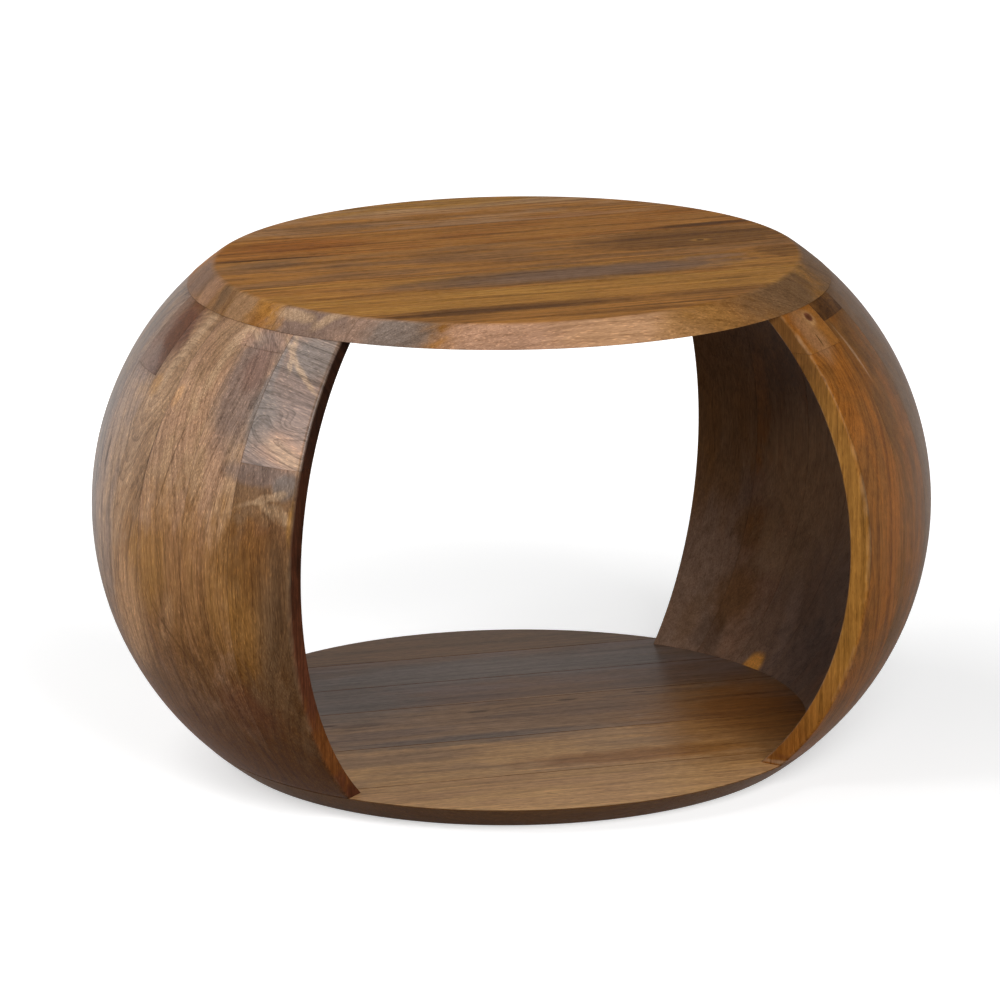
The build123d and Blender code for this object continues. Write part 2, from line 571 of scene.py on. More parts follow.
def on(face, *rows):
    """The stains of one face, from their rows."""
    return tuple(Stain(*row)._replace(on=face) for row in rows)


class Whorl(NamedTuple):
    """A place where the growth layers bulge, so that their lines bend or close round it.

    at, size and turn are as for a stain, and lift is how many layers they bulge by.
    """

    at: tuple
    size: tuple
    lift: float
    turn: float = 0.0


class Timber(NamedTuple):
    """How one piece was cut from the log, and what that shows on its faces.

    tone and streak are its two colours, and streaks is the most that the second one takes.
    pith is how far the log's middle lies across and into the piece, ring is the thickness
    of a growth layer, both in millimetres, and lie is how the piece was turned in the log,
    in degrees. The rest are how much there is of the growth rings, of each kind of grain,
    of glinting vessels (a painted highlight), of dark in the joints, of paler arrises (partly
    wear, partly a painted highlight) and of clear coat.
    """

    tone: str
    streak: str
    pith: tuple = (0.0, 60.0)
    ring: float = 7.0
    rings: float = 0.5
    streaks: float = 0.6
    band: float = 0.5
    fine: float = 1.3
    speckle: float = 0.8
    mottle: float = 0.5
    glints: float = 0.4
    lie: tuple = (0.0, 0.0, 0.0)
    joint: float = 0.5
    worn: float = 0.1
    coat: float = 0.0
    whorls: tuple = ()


def reaches(stain, across, low, high):
    """Whether a stain, with its ragged edge, may touch the piece between two corners."""
    reach = 1.5 * max(stain.size)
    spot = (stain.at[0] * across, stain.at[1])
    return all(a - reach < p < b + reach for a, p, b in zip(low, spot, high))


def noise(tree, source, shift, size, detail, roughness=0.55):
    """Noise whose lumps are of a size in millimetres along and across the fibre."""
    scale = (1 / size[0], 1 / size[1], 1 / size[1])
    own = add(tree, "Mapping", {0: source, 1: shift, 3: scale})
    values = {"Vector": own, "Scale": 1.0, "Detail": detail, "Roughness": roughness}
    return add(tree, "TexNoise", values)


def ellipse(tree, place, patch, across):
    """Distance from the middle of a stain or whorl, counted in its own half sizes."""
    middle = (patch.at[0] * across, patch.at[1], 0)
    values = {0: place, 1: middle, 2: (0, 0, math.radians(patch.turn)), 3: (*patch.size, 1e6)}
    off = add(tree, "Mapping", values, vector_type="TEXTURE")
    return add(tree, "VectorMath", {0: off}, 1, operation="LENGTH")


def straying_fibre(tree, own, log, lie, seed):
    """The place in the log in millimetres, x along the fibre and y and z across it.

    The fibre strays by a few millimetres, over 45 mm across and 220 mm along.
    """
    turned, shift = log
    grid = add(tree, "Mapping", {0: own, 1: shift, 2: turned, 3: (1 / MM,) * 3})
    grid = add(tree, "Mapping", {0: grid, 2: [math.radians(a) for a in lie]})
    stray = add(tree, "Mapping", {0: grid, 1: (seed, seed, 0), 3: (1 / 220, 1 / 45, 1 / 45)})
    stray = add(tree, "TexNoise", {"Vector": stray, "Scale": 1.0, "Detail": 3.0}, 1)
    stray = add(tree, "VectorMath", {0: stray, 1: (0.5,) * 3}, operation="SUBTRACT")
    stray = add(tree, "VectorMath", {0: stray, 1: (FIBRE_STRAYS,) * 3}, operation="MULTIPLY")
    return add(tree, "VectorMath", {0: grid, 1: stray}, operation="ADD")


def growth_layers(tree, timber, fibre, place, across):
    """Noise that goes with the growth layers, and the dark end of each layer.

    The distance from the pith is counted in layers, which differ in thickness. Each one
    darkens as the cube of its age and starts again pale.
    """
    spoke = add(tree, "VectorMath", {0: fibre, 1: (0, *timber.pith)}, operation="SUBTRACT")
    spoke = add(tree, "VectorMath", {0: spoke, 1: (0, 1, 1)}, operation="MULTIPLY")
    spoke = add(tree, "VectorMath", {0: spoke}, 1, operation="LENGTH")
    years = add(tree, "Math", {0: spoke, 1: 1 / timber.ring}, operation="MULTIPLY")
    for whorl in timber.whorls:
        off = ellipse(tree, place, whorl, across)
        off = add(tree, "MapRange", {0: off, 1: 0.0, 2: 1.0, 3: whorl.lift, 4: 0.0}, **EASED)
        years = add(tree, "Math", {0: years, 1: off}, operation="ADD")
    values = {"W": years, "Scale": 0.6, "Detail": 3.0, "Roughness": 0.6}
    growth = add(tree, "TexNoise", values, noise_dimensions="1D")
    uneven = {0: growth, 1: GROWTH_VARIES, 2: years}
    uneven = add(tree, "Math", uneven, operation="MULTIPLY_ADD")
    age = add(tree, "Math", {0: uneven}, operation="FRACT")
    late = add(tree, "Math", {0: age, 1: 3.0}, operation="POWER")
    early = add(tree, "Math", {0: age, 1: -8.0, 2: 8.0}, operation="MULTIPLY_ADD")
    return growth, add(tree, "Math", {0: late, 1: early}, operation="MINIMUM")


def grain_shade(tree, timber, late, parts):
    """Light and dark in the grain, as a colour to multiply by.

    The patterns are added up by their shares, and the sum is centred on its own mean.
    """
    grain, middle = 0.0, 0.0
    for part, share in parts:
        grain = add(tree, "Math", {0: part, 1: share, 2: grain}, operation="MULTIPLY_ADD")
        middle += 0.5 * share
    dark = LATE_AT_MOST * timber.rings
    grain = add(tree, "Math", {0: late, 1: dark, 2: grain}, operation="MULTIPLY_ADD")
    middle += LATE_ON_AVERAGE * timber.rings
    values = {0: grain, 1: middle - 0.5, 2: middle + 0.5, 3: 0.0, 4: 1.0}
    grain = add(tree, "MapRange", values)
    return add(tree, "Mix", {0: grain, 6: DARK_GRAIN, 7: PALE_GRAIN}, 2, **MIX)


def stained(tree, colour, stains, place, across, ragged, faces):
    """The wood's colour with its stains laid over it, one after another."""
    for stain in stains:
        off = ellipse(tree, place, stain, across)
        rough = 2 * stain.ragged
        off = add(tree, "Math", {0: ragged, 1: rough, 2: off}, operation="MULTIPLY_ADD")
        edge, half = 1.0 + rough, stain.soft / 2
        values = {0: off, 1: edge + half, 2: edge - half, 3: 0.0, 4: stain.amount}
        share = add(tree, "MapRange", values, **EASED)
        share = add(tree, "Math", {0: share, 1: faces[FACES[stain.on]]}, operation="MULTIPLY")
        colour = add(tree, "Mix", {0: share, 6: colour, 7: tone(stain.tone)}, 2, **MIX)
    return colour


def coat_share(tree, timber, own, faces, on_board):
    """How much clear coat there is: on a board's flat face, and on a wall's upper part."""
    if on_board:
        values = {0: faces[FACES["flat"]], 1: timber.coat}
        return add(tree, "Math", values, operation="MULTIPLY")
    level = add(tree, "SeparateXYZ", {0: own}).node.outputs[2]
    values = {0: level, 1: COAT_NONE, 2: COAT_FULL, 3: 0.0, 4: timber.coat}
    return add(tree, "MapRange", values, **EASED)


def mango_wood(node, timber, stains, log, turn):
    """Mango wood, sawn and turned, stained brown and sprayed with satin lacquer.

    Everything is worked out in the log the piece was sawn from. The growth layers lie
    round the pith, pale at first and darker to their ends; the fibre is long fine streaks,
    and the vessels are short dark dashes. Each face cuts through them as the saw did, so a
    curved or bevelled face shows arcs and flecks. The stain sinks in unevenly, in clouds.
    The lacquer gives one soft gloss, duller in the open vessels. turn is how far a board's
    planks are turned, and None on a wall.
    """
    material = bpy.data.materials.new(f"mango_wood_{node}")
    tree = empty_tree(material)

    # the name gives each piece its own place in the noise
    seed = (sum(ord(c) * (i + 3) for i, c in enumerate(node)) * 37.7) % 900
    on_board = turn is not None
    own = add(tree, "TexCoord", {}, 3)
    if on_board:
        place = add(tree, "Mapping", {0: own, 2: (0, 0, -turn), 3: (1 / MM,) * 3})
        across = 1.0
    else:
        place = add(tree, "Attribute", {}, 1, attribute_name="place")
        across = MM_PER_DEGREE
    faces = add(tree, "Attribute", {}, 1, attribute_name="face")
    faces = add(tree, "SeparateXYZ", {0: faces}).node.outputs
    fibre = straying_fibre(tree, own, log, timber.lie, seed)
    growth, late = growth_layers(tree, timber, fibre, place, across)

    # fibre streaks, 1.6 by 45 mm; bands of them, 5 by 110 mm, which still show where a
    # board is seen almost edge on; flecks, 0.9 by 7 mm; stain clouds, 24 by 110 mm; and
    # mottling 12 mm across. Vessels are 0.2 by 5 mm in the real wood, and are drawn
    # 0.9 by 9 mm so that they show
    fine = noise(tree, fibre, (0, seed, 7), (45, 1.6), 3.0, 0.6)
    band = noise(tree, fibre, (5, 2, seed), (110, 5), 4.0, 0.65)
    fleck = noise(tree, fibre, (9, 3, seed), (7, 0.9), 1.0)
    cloud = noise(tree, fibre, (3, 1, seed), (110, 24), 3.0)
    mottle = noise(tree, fibre, (seed, 5, 2), (20, 12), 4.0, 0.6)
    vessel = noise(tree, fibre, (1, seed, 4), (9, 0.9), 1.0)
    vessel = add(tree, "MapRange", {0: vessel, 1: 0.57, 2: 0.70, 3: 0.0, 4: 1.0}, **EASED)

    # colour: clouds of two tones, then the stains, then the grain over whatever lies there
    spread = {0: cloud, 1: 0.38, 2: 0.62, 3: 0.0, 4: timber.streaks}
    spread = add(tree, "MapRange", spread, **EASED)
    tones = {0: spread, 6: tone(timber.tone), 7: tone(timber.streak)}
    colour = add(tree, "Mix", tones, 2, **MIX)
    ragged = add(tree, "Math", {0: cloud, 1: mottle}, operation="ADD")
    colour = stained(tree, colour, stains, place, across, ragged, faces)
    parts = (
        (growth, 0.5 * timber.rings), (fine, timber.fine), (band, timber.band),
        (fleck, timber.speckle), (mottle, timber.mottle),
    )
    shade = grain_shade(tree, timber, late, parts)
    shown = 1.0
    if on_board:
        lost = {0: faces[FACES["rim"]], 1: -RIM_GRAIN_LOST, 2: 1.0}
        shown = add(tree, "Math", lost, operation="MULTIPLY_ADD")
    dark = add(tree, "Math", {0: vessel, 1: OPEN_SHARE}, operation="MULTIPLY")

    # painted highlight: here and there a vessel glints where the light skims it, and it shows
    # as a pale dash painted into the colour; on a board only the rim has them
    glint = noise(tree, fibre, (4, 8, seed), (8, 1.1), 1.0)
    glint = {0: glint, 1: 0.56, 2: 0.68, 3: 0.0, 4: timber.glints}
    glint = add(tree, "MapRange", glint, **EASED)
    if on_board:
        glint = add(tree, "Math", {0: glint, 1: faces[FACES["rim"]]}, operation="MULTIPLY")

    # the arrises are paler here and there, partly wear and partly a painted highlight where
    # light catches them, and dirt and glue darken the joints
    worn = add(tree, "Attribute", {}, 2, attribute_name="arris")
    highlight_and_wear = add(tree, "MapRange", {0: ragged, 1: 0.9, 2: 1.15, 3: 0.0, 4: timber.worn})
    worn = add(tree, "Math", {0: worn, 1: highlight_and_wear}, operation="MULTIPLY")
    seam = add(tree, "Attribute", {}, 2, attribute_name="seam")
    seam = add(tree, "Math", {0: seam, 1: timber.joint}, operation="MULTIPLY")
    layers = (
        (shown, shade, MULTIPLY), (dark, OPEN_VESSEL, MULTIPLY),
        (glint, PAINTED_GLINT, MULTIPLY), (worn, tone("straw"), MIX),
        (seam, JOINT_SHADE, MULTIPLY),
    )
    for share, layer, way in layers:
        colour = add(tree, "Mix", {0: share, 6: colour, 7: layer}, 2, **way)

    least = ROUGHNESS - ROUGHNESS_SPREAD / 2
    gloss = {0: fine, 1: ROUGHNESS_SPREAD, 2: least}
    gloss = add(tree, "Math", gloss, operation="MULTIPLY_ADD")
    gloss = {0: vessel, 1: VESSEL_ROUGHNESS, 2: gloss}
    gloss = add(tree, "Math", gloss, operation="MULTIPLY_ADD")
    relief = add(tree, "Math", {0: vessel, 1: -0.7, 2: fine}, operation="MULTIPLY_ADD")
    bump = add(tree, "Bump", {"Strength": 0.5, "Distance": FIBRE_RELIEF, "Height": relief})
    values = {
        "Base Color": colour, "Roughness": gloss, "Normal": bump, "IOR": LACQUER_IOR,
        "Specular IOR Level": SPECULAR_LEVEL, "Coat Roughness": COAT_ROUGHNESS,
        "Coat IOR": LACQUER_IOR,
    }
    if timber.coat:
        values["Coat Weight"] = coat_share(tree, timber, own, faces, on_board)
    surface = add(tree, "BsdfPrincipled", values)
    add(tree, "OutputMaterial", {0: surface})
    return material


# ---- how each piece was cut ----

# the planks of each board, from the front one to the back one, and what all of them share
BOARD = {"ring": 6.0, "rings": 0.9, "band": 1.35, "fine": 1.0, "mottle": 0.2}
TOP = (
    Timber("honey", "bronze", (-60, -60), **BOARD),
    Timber("gold", "honey", (70, -50), **BOARD),
    Timber("honey", "gold", (-80, -60), whorls=(Whorl((205, -90), (70, 16), 2.0),), **BOARD),
    Timber("honey", "dun", (80, -60), **BOARD),
    Timber("honey", "amber", (-70, -50), **BOARD),
    Timber("honey", "tan", (60, -60), **BOARD),
    Timber("gold", "tan", (-60, -60), **BOARD),
)
TOP_STAINS = on(
    "flat",
    ((-165, 104), (60, 26), "amber", 1.0, 0.4),
    ((-125, 168), (65, 16), "dun", 0.6),
    ((110, 150), (50, 8), "amber", 0.5, 0.4),
    ((-75, -203), (115, 13), "bronze", 1.0, 0.4),
    ((-100, -206), (85, 8), "umber", 0.5, 0.4),
    ((20, -91), (155, 27), "dun", 1.0, 0.3, 0.7),
    ((60, -91), (110, 18), "mauve", 0.35),
    ((175, 15), (95, 38), "bronze", 0.95),
    ((205, 66), (56, 7), "umber", 0.8, 0.25, 0.8, 3),
    ((-207, 58), (62, 3.2), "umber", 0.9, 0.15, 0.8, -3),
    ((-215, 36), (34, 13), "drab", 0.65),
    ((181, 3), (9, 6), "gold", 0.7, 0.3, 0.8),
    ((181, 3), (3.5, 2.6), "umber", 0.9, 0.2, 0.6),
    ((168, -67), (30, 8), "mauve", 0.5, 0.5, 0.8),
    ((232, -60), (20, 26), "bronze", 0.6, 0.5, 0.8),
    ((90, -233), (85, 2.4), "umber", 0.6, 0.4, 0.8),
) + on(
    "rim",
    ((-268, 45), (30, 50), "mauve", 0.7),
    ((-268, -40), (30, 62), "dun", 0.7, 0.4, 0.8),
    ((-268, -5), (26, 16), "rosy", 0.5, 0.4, 0.8),
    ((-265, -75), (20, 18), "tan", 0.5),
    ((-270, -38), (13, 8), "drab", 0.9, 0.5, 0.9, 40),
    ((-257, -106), (12, 7), "amber", 0.2, 0.5, 1.0),
    ((-205, -180), (70, 44), "fawn", 0.95, 0.25, 0.5, -45),
    ((-225, -160), (34, 14), "mauve", 0.7, 0.7, 0.9, -45),
    ((-238, -140), (22, 3), "straw", 0.6, 0.6, 0.9, -60),
    ((-205, -178), (26, 3), "straw", 0.6, 0.6, 0.9, -30),
    ((-165, -222), (30, 14), "slate", 0.8, 0.6, 1.0, -28),
    ((-50, -270), (110, 40), "rosy", 0.95, 0.25, 0.5),
    ((30, -280), (80, 20), "peach", 0.7, 0.4),
    ((85, -264), (40, 16), "gold", 0.5, 0.5, 1.0, 12),
    ((110, -250), (60, 30), "dun", 0.4, 0.5, 1.0, 18),
    ((185, -190), (62, 34), "drab", 0.95, 0.4, 1.0, 40),
    ((256, -90), (34, 70), "drab", 0.85, 0.4, 1.0),
)
FOOT_CUT = {**BOARD, "rings": 0.5, "band": 0.8, "joint": 0.08}
BASE = (
    Timber("sand", "peach", (60, -60), coat=0.35, **FOOT_CUT),
    Timber("sand", "tan", (-80, -60), coat=0.35, **FOOT_CUT),
    Timber("tan", "mauve", (70, -50), coat=0.35, **FOOT_CUT),
    Timber("mauve", "dun", (-70, -60), coat=0.42, **FOOT_CUT),
    Timber("mauve", "drab", (70, -60), coat=0.42, **FOOT_CUT),
    Timber("drab", "dun", (-60, -60), coat=0.42, **FOOT_CUT),
)
BASE_STAINS = on(
    "flat",
    # painted reflection: the next two grey patches on the back planks stand for the backdrop's cool
    # sheen, beside what the coat reflects
    ((20, 150), (190, 36), "slate", 0.8, 0.4),
    ((-150, 80), (80, 60), "slate", 0.7),
    ((-60, -62), (120, 14), "slate", 0.55, 0.6),
    ((100, 20), (140, 60), "dun", 0.6, 0.5, 1.0),
    ((75, -150), (105, 17), "amber", 0.6),
    ((-150, -95), (80, 22), "mauve", 0.25),
    # painted reflection, over the wood's own brown: the next three warm patches near the right wall
    # stand for its orange faces mirrored in the board
    ((190, -90), (85, 110), "honey", 0.7, 0.4, 1.0),
    ((215, -60), (50, 70), "amber", 0.6, 0.4, 1.0),
    ((235, 0), (34, 60), "amber", 0.4, 0.4, 1.0),
    ((60, 50), (130, 1.6), "straw", 0.5, 0.3, 0.8),
    ((-170, 15), (10, 2.5), "umber", 0.9, 0.3, 0.8),
    ((-140, 8), (26, 6), "umber", 0.4, 0.6),
    ((-28, 20), (9, 2.5), "umber", 0.7, 0.3, 0.8),
    ((60, 33), (9, 2.5), "umber", 0.8, 0.3, 0.8),
    ((130, 38), (7, 2.5), "umber", 0.7, 0.3, 0.8),
) + on(
    "rim",
    ((0, 0), (400, 400), "syrup", 0.9, 0.1, 0.5),
)

# what the left wall's staves share, and the pieces there that have a cut of their own
STAVE = {
    "ring": 5.0, "rings": 1.0, "band": 0.7, "fine": 1.0, "speckle": 0.5, "glints": 0.55,
    "coat": 0.2,
}
LEFT = {
    "left_block_1": Timber("fawn", "mauve", (132, 24), 4.0, 1.5, lie=(0, 0, 75), band=0.3,
                           speckle=0.5, mottle=0.3, glints=0.5, coat=0.5, joint=0.15,
                           whorls=(Whorl((225, 362), (40, 15), 2.6),)),
    "left_block_2": Timber("rosy", "straw", (0, 30), 4.0, 0.9, lie=(0, 60, 40), coat=0.2),
    "left_stave_1": Timber("dun", "drab", (50, 60), joint=0.15, **STAVE)._replace(rings=0.7),
    "left_stave_2": Timber("tan", "rosy", (-50, 50), **STAVE),
    "left_stave_3": Timber("tan", "rosy", (50, 50), lie=(0, 0, 5), **STAVE),
    "left_stave_4": Timber("tan", "dun", (-30, 40), lie=(0, 0, -12), **STAVE),
    "left_stave_5": Timber("tan", "mauve", (40, 50), **STAVE),
    "left_block_5": Timber("rust", "umber", (10, 60), streaks=0.8, coat=0.1),
    "left_stave_6": Timber("mauve", "tan", (40, 50), **STAVE),
}
LEFT_STAINS = on(
    "outside",
    # painted shade: a darker band along the top of the wall, where the light from above falls most
    ((204, 420), (170, 34), "dun", 0.5, 0.4, 1.0),
    ((212, 419), (34, 9), "rosy", 0.7),
    ((211, 420), (24, 3), "straw", 0.6, 0.9, 1.0, -15),
    ((187, 404), (30, 22), "rust", 0.9),
    ((187, 400), (28, 20), "umber", 0.6, 0.7),
    ((184, 376), (34, 14), "mauve", 0.8),
    ((181, 300), (170, 22), "fawn", 0.5, 0.5, 1.0, 90),
    ((191.5, 366), (10, 9), "gold", 0.45, 0.3, 0.8),
    ((199.2, 365), (10, 6), "peach", 0.9, 0.2, 0.5, 72),
    ((194.5, 402), (36, 7), "straw", 0.45, 0.9, 1.0, 76),
    ((205.5, 395), (40, 6), "straw", 0.5, 0.9, 1.0, 82),
    ((213, 386), (27, 50), "mauve", 0.85, 0.3),
    ((214, 400), (16, 16), "rust", 0.35, 0.4),
    ((217.8, 380), (6, 40), "slate", 0.9, 0.4, 0.7),
    ((222.5, 385), (34, 38), "mauve", 0.55),
    ((224.0, 412), (26, 16), "slate", 0.75),
    ((222.5, 403), (34, 2.4), "straw", 0.6, 0.9, 1.0, -30),
    ((219.5, 413), (14, 3), "straw", 0.5, 0.9, 1.0, -60),
    # painted highlight, over the figure's own pinkish tone: the next two rows lighten the block
    # where the left lamp's reflection lies
    ((224.5, 341), (34, 12), "rosy", 0.9, 0.7, 1.2, -16),
    ((225.5, 338), (26, 6), "straw", 0.45, 0.9, 1.2, -20),
    ((219, 366), (14, 22), "slate", 0.6, 0.6, 1.0),
    ((221, 322), (34, 9), "mauve", 0.8, 0.4, 0.8),
    ((225.5, 315), (12, 9), "slate", 0.7, 0.4, 0.8),
    ((222, 302), (20, 3), "straw", 0.5, 1.0, 0.8, 20),
    ((225, 292), (16, 5), "straw", 0.6, 0.9, 0.8, -20),
    ((223, 268), (28, 16), "rust", 0.5, 0.7),
    ((227.5, 284), (5, 18), "gold", 0.7, 0.5, 0.6),
    ((207, 200), (90, 80), "honey", 0.6, 0.5, 1.0),
    ((209, 195), (70, 70), "bronze", 0.35, 0.5, 1.0),
    ((199, 215), (26, 40), "gold", 0.5, 0.7),
    ((219, 215), (30, 60), "gold", 0.3, 0.9, 1.2),
    ((203, 165), (9, 36), "peach", 0.5, 0.7, 0.9, -25),
    ((222, 250), (36, 34), "bronze", 0.75),
    ((224, 236), (20, 30), "syrup", 0.3, 0.7),
    ((226, 180), (22, 90), "drab", 0.8, 0.4),
    ((226.5, 190), (10, 70), "umber", 0.5, 0.4),
    # painted shade, over the wood's own dark brown: this cloud darkens the wall's lower part
    # towards the floor
    ((196, 90), (190, 76), "syrup", 0.65, 0.4, 1.2),
    ((192, 165), (34, 50), "peach", 0.8, 0.6, 1.0, -20),
    ((205.2, 160), (37, 1.4), "umber", 0.4, 0.25, 0.9, -47),
    ((202, 150), (38, 1.4), "umber", 0.35, 0.3, 0.9, -80),
    ((217, 105), (32, 26), "rust", 0.5, 0.5, 1.0),
    # painted shade, over the wood's own dark brown: the darkest band along the foot of the wall
    ((205, 30), (260, 62), "syrup", 1.0, 0.4, 1.2),
    # painted reflection and shade: grey over the left limb stands for its blue grey sheen and tones
    # down the lamps' light there
    ((160, 250), (112, 260), "slate", 0.8, 0.3, 1.0),
    ((182.5, 296), (2.5, 12), "umber", 0.8, 0.2, 0.6),
    ((197.7, 300), (1.0, 60), "umber", 0.6, 0.2, 0.8, -3),
    ((203.4, 312), (1.0, 40), "umber", 0.5, 0.2, 0.8, -10),
    ((189, 326), (1.0, 26), "umber", 0.5, 0.2, 0.8, 25),
) + on(
    "cut",
    ((180, 225), (900, 400), "soot", 1.0, 0.1, 0.5),
    ((228, 290), (4, 60), "rust", 0.2, 0.9),
    ((228, 105), (60, 110), "rust", 0.5, 0.6),
    ((228, 80), (4, 36), "amber", 0.4, 0.9),
)

# what the right wall's staves share, and the pieces there that have a cut of their own
SMOOTH = {
    "fine": 0.7, "band": 0.25, "speckle": 0.4, "mottle": 0.7, "glints": 0.2, "coat": 0.12,
}
RIGHT = {
    "right_stave_1": Timber("amber", "bronze", (-35, 50), 5.0, 1.1, **SMOOTH, worn=0.2,
                            whorls=(Whorl((-35, 235), (56, 120), 2.4),)),
    "right_stave_2": Timber("bronze", "amber", (30, 60), **SMOOTH),
    "right_block_1": Timber("amber", "honey", (0, 50), rings=0.4, joint=0.12, worn=0.3,
                            **SMOOTH),
    "right_block_2": Timber("umber", "bronze", (0, 50), coat=0.06),
}
RIGHT_STAINS = on(
    "outside",
    ((-43, 408), (16, 20), "tan", 0.4),
    ((-40.6, 419), (9, 5.5), "sand", 0.55, 0.1),
    ((-40.6, 420), (6, 3.4), "rust", 1.0, 0.05, 0.6),
    ((-40.6, 420), (2.4, 1.4), "umber", 0.8, 0.05, 0.8),
    ((-42.5, 403), (1.0, 5), "umber", 0.8, 0.1, 0.8),
    ((-35, 383), (2.0, 20), "straw", 0.5, 0.6, 0.9, 8),
    ((-12, 360), (26, 40), "fawn", 0.5, 0.6, 1.0),
    ((-47.2, 260), (1.5, 70), "umber", 0.8, 0.3, 0.8),
) + on(
    "cut",
    ((-46, 240), (60, 150), "gold", 0.75, 0.3, 0.8),
    ((-46, 418), (34, 40), "bronze", 0.8, 0.4, 1.0),
    ((-46, 26), (10, 3), "straw", 0.8, 0.3, 0.6),
    ((-46, 32), (8, 4), "rust", 0.8, 0.4, 0.6),
) + on(
    "inside",
    ((0, 310), (500, 170), "dun", 0.6, 0.3, 0.8),
    ((0, 60), (500, 120), "fawn", 0.6, 0.3, 0.8),
    ((30, 250), (34, 60), "soot", 0.4, 0.5, 1.0),
    ((41.5, 172), (20, 22), "dun", 0.7, 0.7),
    ((35, 163), (26, 26), "mauve", 0.5, 0.6),
    ((28, 151), (18, 14), "tan", 0.4, 0.6),
    ((34.5, 132), (22, 24), "bronze", 0.7),
    ((25, 131), (14, 12), "soot", 0.4),
    ((27.5, 112), (30, 20), "tan", 0.45),
    ((34, 71), (28, 24), "bronze", 0.7),
    ((18.5, 60), (46, 10), "fawn", 0.7, 0.8, 0.9, 60),
    ((37, 36), (24, 14), "soot", 0.3, 0.9, 1.2),
    ((42, 45), (14, 18), "dun", 0.4, 0.7),
    ((20, 200), (90, 60), "tan", 0.55, 0.7, 1.2),
    ((7, 45), (60, 30), "mauve", 0.6, 0.5, 1.0),
    ((25, 170), (60, 60), "tan", 0.6, 0.7, 1.2),
    # painted light: a pale orange spot at the inner foot, painted brighter than any of the wood's
    # colours to stand for light falling there
    ((20.9, 24), (15, 11), "bare", 1.0, 0.2, 0.6),
)

# the cuts of all the other staves, which follow each other in turn
TYPICAL = {
    "left": (Timber("tan", "drab", (-50, 50), **STAVE),
             Timber("tan", "rosy", (40, 50), **STAVE),
             Timber("dun", "tan", (-40, 60), **STAVE)),
    "right": (Timber("drab", "bronze", rings=0.3, **SMOOTH),
              Timber("bronze", "drab", rings=0.3, **SMOOTH),
              Timber("bronze", "amber", rings=0.3, **SMOOTH)),
}


def typical(node):
    """A plain cut for a piece that has none of its own, taken in turn along its wall."""
    side, _, number = node.split("_")
    return TYPICAL[side][int(number) % 3]


# ---- what a user may change ----


def length(name, description, millimetres):
    """A length of the finish, kept in metres."""
    return FloatProperty(
        name=name, description=description, default=millimetres * MM, min=0.0, unit="LENGTH"
    )


def wood_colour(name, description, colour):
    """A colour of the wood, given as sRGB hex."""
    return FloatVectorProperty(
        name=name, description=description, default=linear(colour)[:3], min=0.0, max=1.0,
        size=3, subtype="COLOR",
    )


class DrumTableSizes(bpy.types.PropertyGroup):
    """Edges and joints of the finished pieces."""

    joint: length("Joint bevel", "Small bevel along every glued joint", 0.25)
    arris_outside: length("Outer arris", "Rounding of a wall's cut end, outside", 3.0)
    arris_inside: length("Inner arris", "Rounding of a wall's cut end, inside", 1.6)
    round_over: length("Board arris", "How far the boards' outer arris is worn back", 2.6)
    edge_full: length("Edge drift", "How unevenly the table top's edge was bevelled", 4.9)
    hand_wave: length("Hand wave", "How deep hand sanding dips the walls", 0.5)


class DrumTableColours(bpy.types.PropertyGroup):
    """Tones of the stained wood under its lacquer."""

    gold: wood_colour("Gold", "Yellow brown heartwood", "#9b6e32")
    # painted light: the next colour is the bright orange of light falling on the inner wall's foot,
    # not a tone the wood has
    bare: wood_colour("Painted light", "A spot that took no stain", "#e09a48")
    honey: wood_colour("Honey", "Plain brown heartwood", "#96652f")
    amber: wood_colour("Amber", "Orange brown heartwood", "#8a5421")
    tan: wood_colour("Tan", "Light brown, sanded wood", "#9a7a5c")
    sand: wood_colour("Sand", "Palest warm fibre", "#bd9363")
    peach: wood_colour("Peach", "Warm pale fibre", "#ae855f")
    straw: wood_colour("Straw", "Pale fibre and fine light lines", "#ae9070")
    rosy: wood_colour("Rosy", "Pinkish light brown", "#a07b62")
    fawn: wood_colour("Fawn", "Light grey brown", "#8b7161")
    mauve: wood_colour("Mauve", "Purple grey figure", "#715d53")
    slate: wood_colour("Slate", "Grey with hardly any brown", "#6d625a")
    dun: wood_colour("Dun", "Middling grey brown", "#745539")
    drab: wood_colour("Drab", "Dull grey brown", "#6c5138")
    bronze: wood_colour("Bronze", "Brown heartwood", "#6e4923")
    rust: wood_colour("Rust", "Red brown heartwood", "#683b27")
    umber: wood_colour("Umber", "Dark streaks", "#472c15")
    # this colour also serves as painted shade along the left wall's lower part
    syrup: wood_colour("Syrup", "Thick stain that looks down", "#5b3510")
    soot: wood_colour("Soot", "Nearly black stain", "#26140b")


def power(name, description, watts):
    """A lamp's power."""
    return FloatProperty(
        name=name, description=description, default=watts, min=0.0, unit="POWER"
    )


class DrumTableStage(bpy.types.PropertyGroup):
    """Light and camera."""

    front: power("Front lamp", "Soft lamp in front, to the right", 75.0)
    left: power("Left lamp", "Soft lamp on the left", 38.0)
    back: power("Back lamp", "Soft lamp behind, high up on the left", 26.0)
    low: power("Low lamp", "Soft lamp behind, low down on the left", 9.0)
    room: FloatProperty(
        name="Room light", description="Even light from all round", default=0.05, min=0.0
    )
    distance: FloatProperty(
        name="Camera distance", description="From the drum's middle", default=5.10145, unit="LENGTH"
    )


# ---- operators ----


def upright_grid(azimuth):
    """The turn that takes a stave standing at an azimuth, in radians, to its log.

    Up becomes the log's length, the way round the drum its width, and inwards its depth.
    """
    own = Matrix.Rotation(math.radians(90), 3, "Y") @ Matrix.Rotation(-azimuth, 3, "Z")
    return own.to_euler("XYZ")


